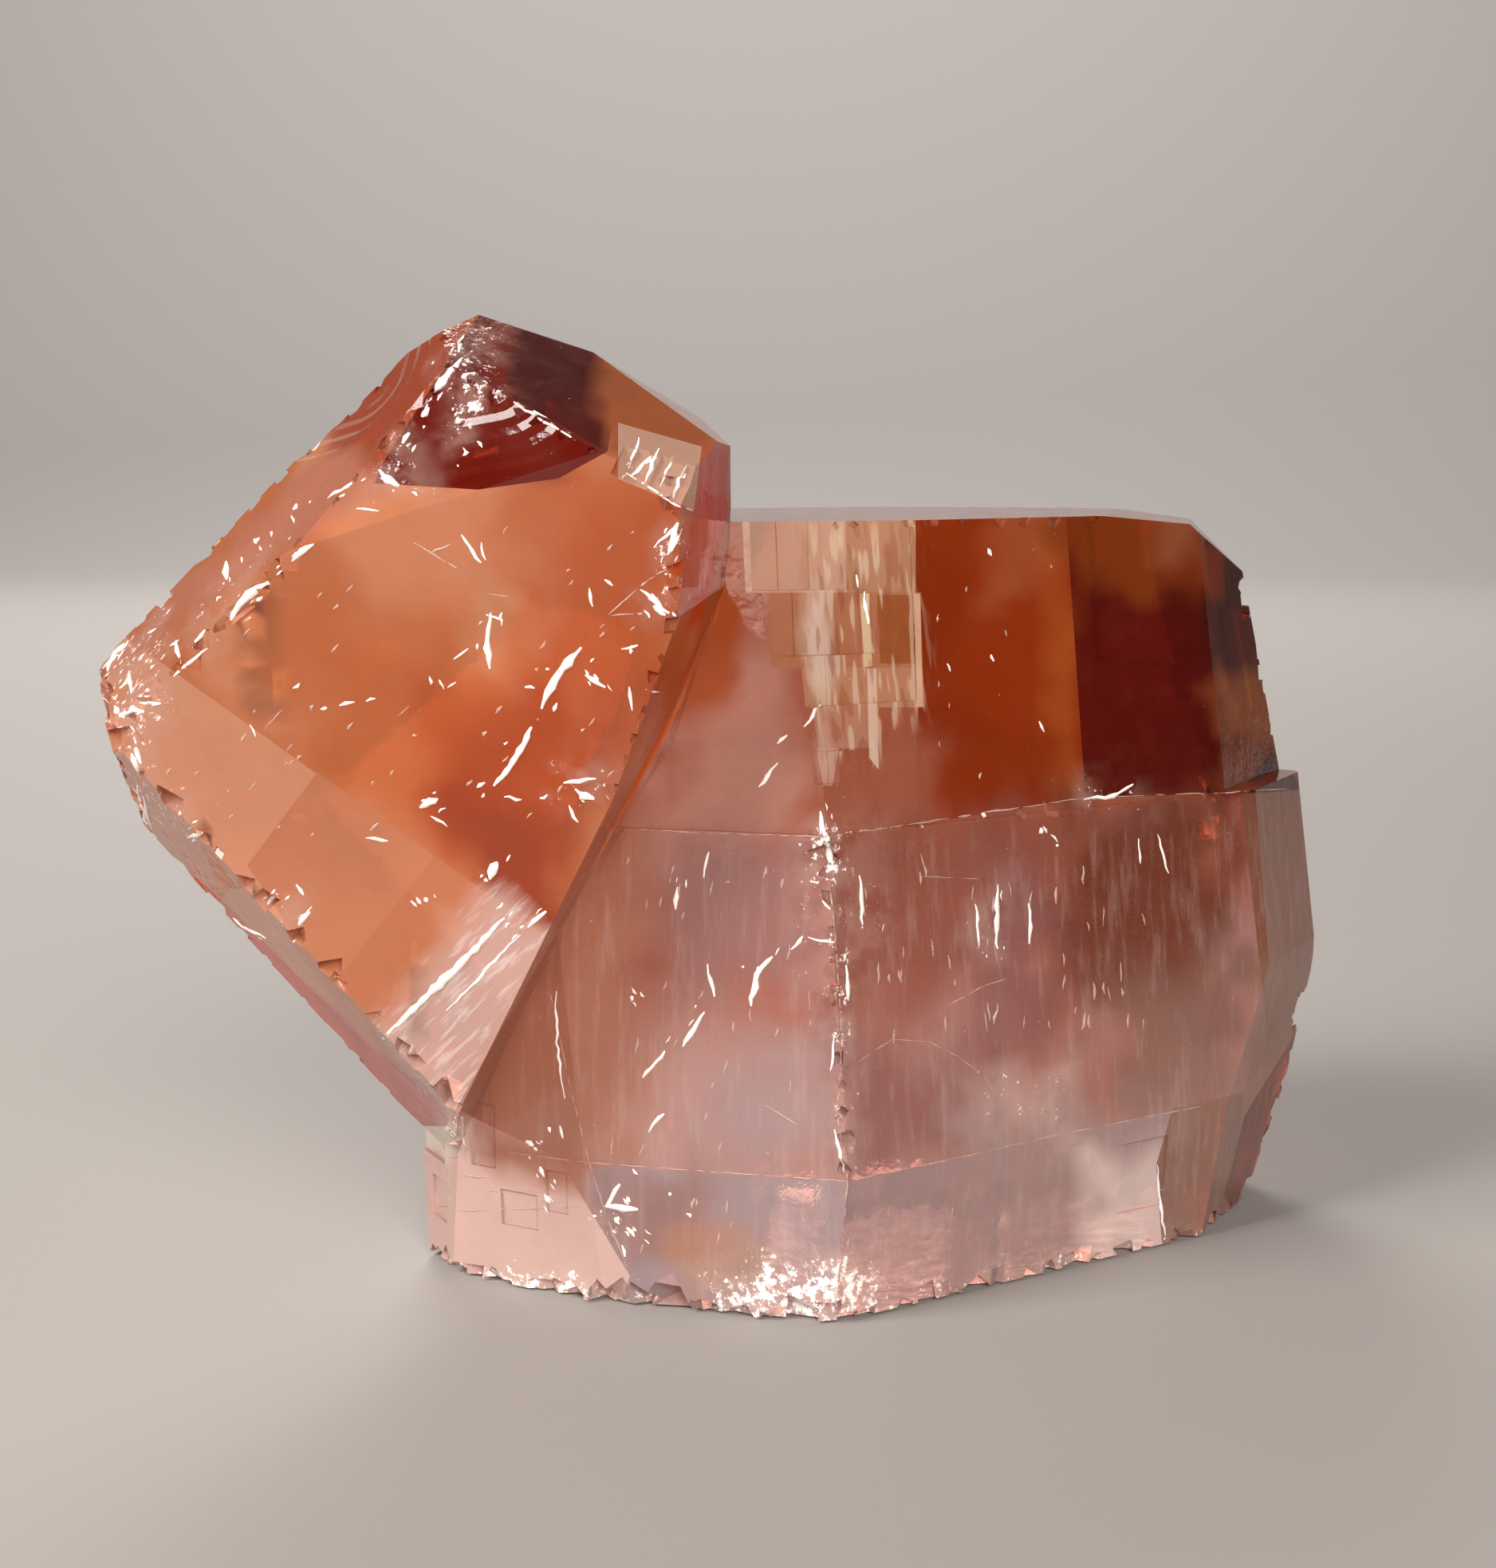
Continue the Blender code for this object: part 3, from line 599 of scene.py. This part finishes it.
class Paint:
    """Colours laid on the corners of a mesh's faces."""

    def __init__(self, mesh):
        self.mesh = mesh
        corner_counts = [len(face.vertices) for face in mesh.polygons]
        self.corner_face = np.repeat(np.arange(len(mesh.polygons)), corner_counts)
        vertex = np.empty(len(mesh.loops), int)
        mesh.loops.foreach_get("vertex_index", vertex)
        self.corner_vertex = vertex
        places = np.empty(3 * len(mesh.vertices))
        mesh.vertices.foreach_get("co", places)
        self.places = places.reshape(-1, 3) / MM
        centres = np.empty(3 * len(mesh.polygons))
        mesh.polygons.foreach_get("center", centres)
        self.centres = centres.reshape(-1, 3) / MM
        outward = np.empty(3 * len(mesh.polygons))
        mesh.polygons.foreach_get("normal", outward)
        self.outward = outward.reshape(-1, 3)
        self.colour = np.zeros((len(vertex), 4))
        self.colour[:, 3] = 1.0

    def cloud(self, size, shift=0.0):
        """Smooth noise of about that size in mm, at every corner, from 0 to 1."""
        moved = Vector((shift, shift, shift))
        values = [noise.noise(Vector(place) / size + moved) for place in self.places]
        return (0.5 + np.array(values))[self.corner_vertex]

    def depth(self, points, outline):
        """How deep points lie inside the outline, in mm."""
        seen = points - np.array(EYE)
        return np.min([seen @ np.array(sight_plane(*side)) for side in clockwise(outline)], axis=0)

    def inside(self, outline, soft, wander):
        """The share of each corner that lies inside the outline."""
        if soft < CRISP:
            return (self.depth(self.centres, outline) > 0).astype(float)[self.corner_face]
        deep = self.depth(self.places, outline)[self.corner_vertex] + wander * min(1.0, soft / 2)
        return smooth(deep, -soft, soft)

    def lay(self, colour, share):
        """Lays a colour over what is there, as strongly as the share says."""
        share = np.asarray(share)[:, None] if np.ndim(share) else share
        self.colour += (np.array(colour) - self.colour) * share

    def store(self, name, values):
        """Keeps a colour or a value for every corner in the mesh."""
        if values.ndim == 2:
            layer = self.mesh.color_attributes.new(name, "FLOAT_COLOR", "CORNER")
            layer.data.foreach_set("color", values.ravel())
        else:
            layer = self.mesh.attributes.new(name, "FLOAT", "CORNER")
            layer.data.foreach_set("value", values.ravel())


def smooth(value, start, end):
    """0 where the value is at start, 1 where it is at end, and smooth between them."""
    share = np.clip((value - start) / (end - start), 0, 1)
    return share * share * (3 - 2 * share)


def paint_ground(paint, height, clouds, hidden):
    """The colours under the fields: milky pink below the parting, and orange above it."""
    above = (paint.centres[:, 2] > PARTING_HEIGHT).astype(float)[paint.corner_face]
    level = (paint.outward[:, 2] > LEVEL_RISE).astype(float)[paint.corner_face]
    paint.lay(tone(166, 96, 76), 1.0)
    paint.lay(tone(190, 152, 146), smooth(height + 14 * clouds, 38.0, 12.0))
    paint.lay(tone(206, 160, 150), hidden * smooth(height + 14 * clouds, 46.0, 18.0))
    paint.lay(tone(206, 116, 70), above * hidden)
    paint.lay(tone(164, 62, 20), above * hidden * smooth(clouds, 0.45, 0.75))
    paint.lay(tone(160, 66, 32), above * level * 0.8)


def paint_fields(paint, fields, wander, where):
    """Lays out fields of colour, one over the other, in one part of the stone."""
    for outline, colour, share, soft in fields:
        paint.lay(colour, paint.inside(outline, soft, wander) * share * where)


def crushed_share(paint, wander, showing):
    """How white each corner is, from the broken faces and the crushed places; the white is partly
    painted glints.
    """
    tiers = np.max([paint.inside(field[0], 0.1, wander) for field in TIER_FIELDS], axis=0)
    broken = np.empty(len(paint.mesh.polygons))
    paint.mesh.attributes["broken"].data.foreach_get("value", broken)
    crushed = broken[paint.corner_face] * UNEVEN_BREAK * (1 - tiers * showing)
    for outline, share in CRUSHED:
        crushed = np.maximum(crushed, paint.inside(outline, 1.0, wander) * share * showing)
    return crushed


def paint_stone(mesh):
    """Lays out the stone's colours, among them painted shade, reflections and glints, and where it
    is crushed, streaked or fibrous.
    """
    paint = Paint(mesh)
    clouds = paint.cloud(CLOUD_SIZE)
    wander = (paint.cloud(MOTTLE_SIZE, shift=7.0) - 0.5) * WANDER
    forward = (paint.outward[:, 1] < 0.02) & (paint.outward[:, 2] < LEVEL_RISE)
    showing = forward.astype(float)[paint.corner_face]
    tilted = paint.inside(TILTED_OUTLINE, 0.1, wander) * showing
    height = paint.places[:, 2][paint.corner_vertex]

    paint_ground(paint, height, clouds, 1 - showing)
    paint_fields(paint, (*MAIN_FIELDS, *TIER_FIELDS), wander, showing)
    paint.lay(tone(226, 148, 106), tilted)
    paint.lay(tone(208, 122, 76), tilted * smooth(clouds, 0.4, 0.75))
    paint_fields(paint, TILTED_FIELDS, wander, tilted)

    crushed = crushed_share(paint, wander, showing)
    paint.store("tint", paint.colour)
    paint.store("crushed", crushed)
    paint.store("fibrous", paint.inside(*FIBROUS, wander) * tilted)
    paint.store("streaked", smooth(height, *STREAK_HEIGHTS) * (1 - tilted))
    paint.store("stepped", paint.inside(*COLUMNS, wander * 0.2) * (1 - tilted) * showing)
    mesh.attributes.remove(mesh.attributes["broken"])


def marked_colour(finish, mottle, crushed, white):
    """The painted colour, under streaks, deeper spots, columns, fibres and crushed white, the last
    partly painted glints.
    """
    upright = finish.noise(0.8, detail=4.0, roughness=0.65, stretch=(1, 1, 9))
    fibres = finish.noise(0.45, detail=3.0, roughness=0.6, stretch=(1, 1, 12), turn=-44)
    lamellae = finish.noise(0.7, detail=1.0, roughness=0.6, stretch=(1, 1, 60), shift=3.0)
    streaked = finish.kept("streaked")
    stepped = finish.kept("stepped")
    fibrous = finish.kept("fibrous")
    layers = (
        (finish.times(finish.fade(upright, 0.48, 0.74), streaked, 0.2), tone(222, 200, 192)),
        (finish.times(finish.fade(mottle, 0.5, 0.75), 0.08), tone(150, 62, 34)),
        (finish.times(finish.fade(lamellae, 0.54, 0.62), stepped, 0.6), tone(252, 232, 204)),
        (finish.times(finish.fade(lamellae, 0.44, 0.38), stepped, 0.45), tone(160, 88, 50)),
        (finish.times(finish.fade(fibres, 0.5, 0.64), fibrous, 0.6), tone(246, 230, 224)),
        (finish.times(finish.fade(mottle, 0.36, 0.6), crushed, 0.4), tone(238, 206, 192)),
        # Near-white specks: partly crushed calcite, partly painted glints.
        (white, tone(252, 242, 238)),
    )
    colour = finish.kept("tint", "Color")
    for share, above in layers:
        colour = finish.mix(share, colour, above)
    return colour


def stone_finish():
    """Glassy calcite, coloured in flat-edged fields."""
    finish = Finish("red calcite")
    mottle = finish.noise(2.6, detail=4.0, roughness=0.6)
    flecks = finish.noise(0.7, detail=4.0, roughness=0.75)
    crushed = finish.kept("crushed")
    # Near-white specks where crushed places and flecks are strong: partly crushed calcite, partly
    # painted glints.
    white = finish.fade(finish.maths("MULTIPLY_ADD", crushed, 0.2, flecks), 0.7, 0.8)

    shader = finish.shader
    finish.feed(shader.inputs["Base Color"], marked_colour(finish, mottle, crushed, white))
    shader.inputs["IOR"].default_value = 1.5
    shader.inputs["Specular IOR Level"].default_value = 0.35
    clear = finish.maths("MULTIPLY_ADD", finish.fade(finish.height(), 26.0, 36.0), 0.1, 0.5)
    finish.feed(shader.inputs["Transmission Weight"],
                finish.times(clear, finish.maths("MULTIPLY_ADD", white, -0.9, 1.0)))
    rough = finish.maths("MULTIPLY_ADD", mottle, 0.14, 0.03)
    finish.feed(shader.inputs["Roughness"], finish.maths("ADD", rough, finish.times(white, 0.2)))
    finish.rippled(mottle, 0.35, 0.0002)

    haze = finish.nodes.new("ShaderNodeVolumeAbsorption")
    haze.inputs["Color"].default_value = (0.97, 0.62, 0.45, 1.0)
    haze.inputs["Density"].default_value = 24.0
    finish.links.new(haze.outputs[0], finish.nodes["Material Output"].inputs["Volume"])
    return finish.material


# The shell-shaped breaks of the solid, which stay glassy: the middle of each and its radius, in mm.
SHELLS = (
    ((-17.5, -25.9, 63.2), 9.0),
    ((-26.0, -16.0, 63.2), 9.5),
    ((41.9, 3.0, 6.0), 11.0),
    ((23.5, 27.3, 10.0), 15.0),
    ((-29.5, 6.0, 54.0), 12.0),
)
# A face of the first area, in square mm, counts as wholly broken, and one of the second as flat.
SMALL_FACE = (1.5, 9.0)
# Faces that turn by less than this are one flat face.
FLAT_ANGLE = math.radians(0.3)
# The distance between the grid's cuts, in mm.
GRID_STEP = 1.4
# Corners nearer than these, in metres, are one corner.
SAME_CORNER = 0.000001
SAME_CUT = 0.000002


def mark_broken_faces(mesh):
    """Marks small faces outside the shell-shaped breaks as broken, and large ones as flat."""
    small, large = SMALL_FACE
    broken = mesh.attributes.new("broken", "FLOAT", "FACE")
    for face, value in zip(mesh.polygons, broken.data):
        size = face.area / MM**2
        middle = face.center / MM
        in_shell = any((middle - Vector(place)).length < reach for place, reach in SHELLS)
        value.value = 0.0 if in_shell else max(0.0, min(1.0, (large - size) / (large - small)))


def cut_flat(mesh, faces, place, outward):
    """Cuts the faces by a plane through a place."""
    parts = set(faces)
    for face in faces:
        parts.update(face.edges)
        parts.update(face.verts)
    bmesh.ops.bisect_plane(mesh, geom=list(parts), dist=SAME_CUT, plane_co=place, plane_no=outward)


def picture_box(points):
    """The lowest and the highest of the points, across and down."""
    return [(min(values), max(values)) for values in zip(*points)]


def faces_seen_near(mesh, outline):
    """The showing faces whose box in the picture meets the outline's."""
    box = picture_box(outline)
    near = []
    for face in mesh.faces:
        if face.normal.y < 0:
            seen = picture_box([picture_point(corner.co / MM) for corner in face.verts])
            if all(own[1] > low and own[0] < high for own, (low, high) in zip(seen, box)):
                near.append(face)
    return near


def cut_field_edges(mesh):
    """Cuts the showing faces along the crisp rims of the colour fields."""
    fields = (*MAIN_FIELDS, *TIER_FIELDS, *TILTED_FIELDS)
    for outline in [*(field[0] for field in fields if field[3] < CRISP), TILTED_OUTLINE]:
        for start, end in clockwise(outline):
            cut_flat(mesh, faces_seen_near(mesh, outline), EYE * MM, sight_plane(start, end))


def cut_grid(mesh, low, high):
    """Cuts all faces by upright and level planes, so that soft colours have corners to lie on."""
    for axis in range(3):
        outward = Vector([float(axis == other) for other in range(3)])
        count = int((high[axis] - low[axis]) / (GRID_STEP * MM))
        for number in range(1, count):
            place = outward * (low[axis] + (high[axis] - low[axis]) * number / count)
            cut_flat(mesh, mesh.faces[:], place, outward)


def loose_copy(node, name):
    """A copy of a solid's node that stands on its own, with its own mesh."""
    piece = node.copy()
    piece.data = node.data.copy()
    piece.parent = None
    piece.name = name
    for key in list(piece.keys()):
        del piece[key]
    bpy.context.scene.collection.objects.link(piece)
    return piece


def join_flat_faces(piece):
    """Joins the triangles of each flat face into one."""
    only(piece)
    bpy.ops.object.mode_set(mode="EDIT")
    bpy.ops.mesh.select_all(action="SELECT")
    bpy.ops.mesh.remove_doubles(threshold=SAME_CORNER)
    bpy.ops.mesh.dissolve_limited(angle_limit=FLAT_ANGLE)
    bpy.ops.object.mode_set(mode="OBJECT")


def cut_for_colours(piece):
    """Cuts the faces along the fields' rims and the grid, and leaves triangles."""
    mesh = bmesh.new()
    mesh.from_mesh(piece.data)
    cut_field_edges(mesh)
    cut_grid(mesh, *solid_box)
    bmesh.ops.triangulate(mesh, faces=mesh.faces)
    mesh.to_mesh(piece.data)
    mesh.free()


def stone():
    """The stone itself, from the solid's own mesh."""
    piece = loose_copy(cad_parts["red_calcite"], "calcite_crystals")
    join_flat_faces(piece)
    mark_broken_faces(piece.data)
    cut_for_colours(piece)
    paint_stone(piece.data)
    piece.data.materials.clear()
    piece.data.materials.append(stone_finish())
    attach(piece, "root")
    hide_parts("red_calcite")
    return piece


def pale_rib_finish(name, pale, dark, clear):
    """Pale, grainy calcite for the ribs, see-through by the given share: crushed calcite, and on
    the white slivers also painted glints.
    """
    finish = Finish(name)
    grains = finish.noise(0.3, detail=3.0, roughness=0.7)
    finish.feed(finish.shader.inputs["Base Color"], finish.mix(grains, pale, dark))
    finish.feed(finish.shader.inputs["Roughness"], finish.maths("MULTIPLY_ADD", grains, 0.3, 0.1))
    finish.shader.inputs["Transmission Weight"].default_value = clear
    finish.rippled(grains, 0.5, 0.0001)
    return finish.material


def with_splinters(lines, chance):
    """The lines, with a few short splinters scattered beside each wide one, adding to the painted
    glints.
    """
    scattered = list(lines)
    for points, width in lines:
        for _ in range(SPLINTERS if width > WIDE_WIDTH else 0):
            start = Vector(chance.choice(points))
            aside = Vector((chance.uniform(-1, 1), chance.uniform(-1, 1)))
            start += aside * width * SPLINTER_SPREAD
            along = (Vector(points[-1]) - Vector(points[0])).normalized()
            end = start + along * chance.uniform(*SPLINTER_LENGTHS)
            scattered.append(((tuple(start), tuple(end)), width * chance.uniform(*SPLINTER_WIDTHS)))
    return scattered


def in_dashes(lines, chance):
    """The lines cut into dashes, with small gaps between them."""
    dashes = []
    for points, width in lines:
        for start, end in zip(points, points[1:]):
            start, end = Vector(start), Vector(end)
            length = (end - start).length
            reach = 0.0
            while reach < length:
                stop = min(length, reach + chance.uniform(*DASHES))
                if stop - reach > SHORTEST_DASH:
                    ends = tuple(tuple(start.lerp(end, place / length)) for place in (reach, stop))
                    dashes.append((ends, width * chance.uniform(0.4, 1.0)))
                reach = stop + chance.uniform(*GAPS)
    return dashes


def scattered_flecks(chance):
    """Short flecks, each at a drawn place, of a drawn length and width."""
    flecks = []
    for (left, top, right, bottom), count, longest, lean in FLECKS:
        for _ in range(count):
            start = Vector((chance.uniform(left, right), chance.uniform(top, bottom)))
            along = Vector((lean + chance.uniform(-0.2, 0.2), 1.0)).normalized()
            end = start + along * longest * chance.uniform(0.3, 1.0)
            flecks.append(((tuple(start), tuple(end)), chance.uniform(*FLECK_WIDTHS)))
    return flecks


def small_steps(points):
    """The points of a line, with more between them where they lie far apart."""
    steps = []
    for start, end in zip(points, points[1:]):
        start, end = Vector(start), Vector(end)
        count = max(2, round((end - start).length / SLIVER_STEP))
        steps += [start.lerp(end, number / count) for number in range(count)]
    return [*steps, Vector(points[-1])]


def places_on(surface, points, width, chance):
    """Where a line of the picture falls on the surface, straying a little to either side."""
    found = []
    for point in small_steps(points):
        stray = Vector((chance.uniform(-1, 1), chance.uniform(-1, 1)))
        stray *= min(width, WIDEST_STRAY) * STRAY_SHARE
        hit = surface.ray_cast(EYE * MM, sight(point + stray))[0]
        if hit is not None:
            found.append(hit)
    return found


def draw_rib(drawn, places, width, chance):
    """A rib through the places, thickest at its middle and uneven along its length."""
    spline = drawn.splines.new("POLY")
    spline.points.add(len(places) - 1)
    half = RIB_SHARE * width / FOCAL_POINTS * (places[0] - EYE * MM).length
    thin, swell = RIB_TAPER
    for number, (place, point) in enumerate(zip(places, spline.points)):
        share = number / (len(places) - 1)
        point.co = (*place, 1.0)
        point.radius = half * (thin + swell * math.sin(math.pi * share)) * chance.uniform(0.6, 1.3)


def press_onto(surface, mesh):
    """Flattens the ribs onto the surface, and keeps them inside the solid's box."""
    low, high = solid_box
    for vertex in mesh.vertices:
        nearest, outward = surface.find_nearest(vertex.co)[:2]
        rise = (vertex.co - nearest).dot(outward)
        place = vertex.co - outward * rise * (1 - SLIVER_RISE)
        vertex.co = [max(low[axis], min(high[axis], place[axis])) for axis in range(3)]


def cracks_and_glints(name, lines, surface, chance, material):
    """Pale cracks, slivers and painted glints that stand a little out of the surface, one closed
    rib for each.
    """
    drawn = bpy.data.curves.new(name, "CURVE")
    drawn.dimensions = "3D"
    drawn.bevel_depth = 1.0
    drawn.bevel_resolution = 1
    drawn.use_fill_caps = True
    for points, width in lines:
        places = places_on(surface, points, width, chance)
        if len(places) > 1:
            draw_rib(drawn, places, width, chance)
    piece = bpy.data.objects.new(name, drawn)
    bpy.context.scene.collection.objects.link(piece)
    only(piece)
    bpy.ops.object.convert(target="MESH")
    piece = bpy.context.object
    press_onto(surface, piece.data)
    piece.data.materials.append(material)
    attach(piece, "root")


def all_cracks_and_glints(calcite):
    """The bright slivers, which are partly painted glints, and the fine pale cracks."""
    surface = BVHTree.FromObject(calcite, bpy.context.evaluated_depsgraph_get())
    chance = random.Random(5)
    slivers = with_splinters([line for line in CRACKS_AND_GLINTS if line[1] > FINE_WIDTH], chance)
    fine = in_dashes([line for line in CRACKS_AND_GLINTS if line[1] <= FINE_WIDTH], chance)
    fine += scattered_flecks(chance)
    # The near-white slivers are partly painted glints: highlights laid on as white ribs.
    cracks_and_glints("white_slivers_and_glints", slivers, surface, chance,
           pale_rib_finish("crushed calcite and painted glints", tone(255, 250, 246), tone(244, 222, 212), 0.1))
    cracks_and_glints("fine_cracks", fine, surface, chance,
           pale_rib_finish("fine cracks", tone(238, 210, 198), tone(214, 168, 150), 0.5))


def paper_finish():
    """Matt grey paper."""
    material = bpy.data.materials.new("studio paper")
    material.use_nodes = True
    shader = material.node_tree.nodes["Principled BSDF"]
    shader.inputs["Base Color"].default_value = tone(148, 143, 140)
    shader.inputs["Roughness"].default_value = 0.7
    return material


# The floor, in metres: its length, its width as a share of that, how far it lies below the stone,
# how high it rises at the back and how wide the bend is there.
FLOOR_LENGTH = 3.0
FLOOR_WIDTH = 0.55
FLOOR_DROP = 0.0002
BACKDROP_RISE = 0.8
BACKDROP_BEND = 0.6


def studio():
    """A pale floor that rises into a pale backdrop."""
    deselect_all()
    bpy.ops.mesh.primitive_plane_add(size=FLOOR_LENGTH, location=(0, 0, -FLOOR_DROP))
    floor = bpy.context.object
    floor.name = "studio_floor"
    bpy.ops.object.mode_set(mode="EDIT")
    bpy.ops.mesh.select_all(action="SELECT")
    bpy.ops.transform.resize(value=(FLOOR_WIDTH, 1.0, 1.0), center_override=(0, 0, 0))
    bpy.ops.mesh.select_all(action="DESELECT")
    bpy.ops.object.mode_set(mode="OBJECT")
    for edge in floor.data.edges:
        ends = [floor.data.vertices[index].co.y for index in edge.vertices]
        edge.select = min(ends) > 0
    bpy.ops.object.mode_set(mode="EDIT")
    bpy.ops.mesh.extrude_region_move(TRANSFORM_OT_translate={"value": (0, 0, BACKDROP_RISE)})
    bpy.ops.object.mode_set(mode="OBJECT")
    bend = floor.modifiers.new("bend", "BEVEL")
    bend.width = BACKDROP_BEND
    bend.segments = 16
    bpy.ops.object.modifier_apply(modifier=bend.name)
    bpy.ops.object.shade_smooth()
    floor.data.materials.append(paper_finish())


def soft_light(name, place, target, size, watts, colour=(1.0, 1.0, 1.0)):
    """A soft lamp at a place, turned to the target. Places and sizes are in metres."""
    lamp = bpy.data.lights.new(name, "AREA")
    lamp.shape = "RECTANGLE"
    lamp.size, lamp.size_y = size
    lamp.energy = watts
    lamp.color = colour
    holder = bpy.data.objects.new(name, lamp)
    bpy.context.scene.collection.objects.link(holder)
    holder.location = place
    holder.rotation_euler = (Vector(target) - Vector(place)).to_track_quat("-Z", "Y").to_euler()


def lights():
    """A dim warm room with four soft lamps."""
    world = bpy.data.worlds.new("studio air")
    world.use_nodes = True
    air = world.node_tree.nodes["Background"]
    air.inputs["Color"].default_value = (1.0, 0.87, 0.76, 1.0)
    air.inputs["Strength"].default_value = 0.12
    bpy.context.scene.world = world
    middle = (0.0, 0.0, 0.035)
    soft_light("window", (-0.55, -0.35, 0.55), middle, (0.35, 0.5), 9.0, (1.0, 0.97, 0.92))
    soft_light("fill", (0.2, -1.0, 0.5), middle, (0.5, 0.5), 14.5, (1.0, 0.97, 0.93))
    soft_light("back window", (-0.12, 0.8, 0.6), middle, (0.4, 0.4), 5.0, (1.0, 0.96, 0.92))
    soft_light("wall", (0.0, 0.6, 1.1), (0.0, 1.5, 0.65), (1.0, 0.4), 18.0)


def camera():
    """The camera, at the eye."""
    lens = bpy.data.cameras.new("eye")
    lens.sensor_fit = "VERTICAL"
    lens.sensor_height = SENSOR
    lens.lens = FOCAL_POINTS / PHOTO_HIGH * SENSOR
    holder = bpy.data.objects.new("eye", lens)
    bpy.context.scene.collection.objects.link(holder)
    holder.location = EYE * MM
    holder.rotation_euler = (math.pi / 2 - LOOK_DOWN, 0, 0)
    bpy.context.scene.camera = holder


camera()
lights()
studio()
all_cracks_and_glints(stone())

bpy.context.scene.view_settings.view_transform = "Standard"
